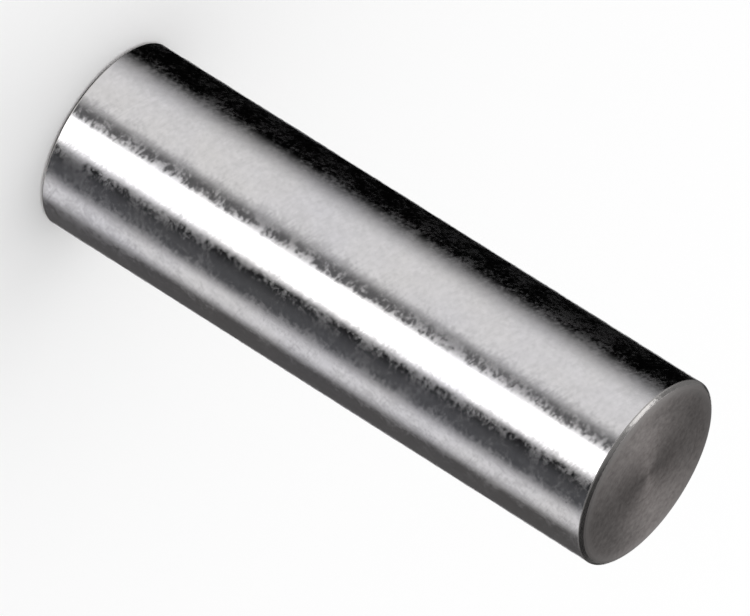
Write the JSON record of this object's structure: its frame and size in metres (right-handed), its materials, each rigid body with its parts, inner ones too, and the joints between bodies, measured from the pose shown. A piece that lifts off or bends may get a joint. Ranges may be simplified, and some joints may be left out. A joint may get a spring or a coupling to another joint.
{
  "type": "piston pin",
  "caption": "Solid cylindrical steel pin with a ground, polished side, flat turned ends and small chamfers, which joins a small piston to its connecting rod.",
  "frame": {"origin": "centre of the end face that the pin stands on", "axes": "+Z along the pin's axis, from the face it stands on to the other end; X and Y are alike"},
  "size_m": [0.01, 0.01, 0.033],
  "materials": {
    "ground_steel": "centreless ground and polished side, fine turned ends"
  },
  "bodies": {
    "root": {"piston_pin": "ground_steel"}
  },
  "joints": []
}
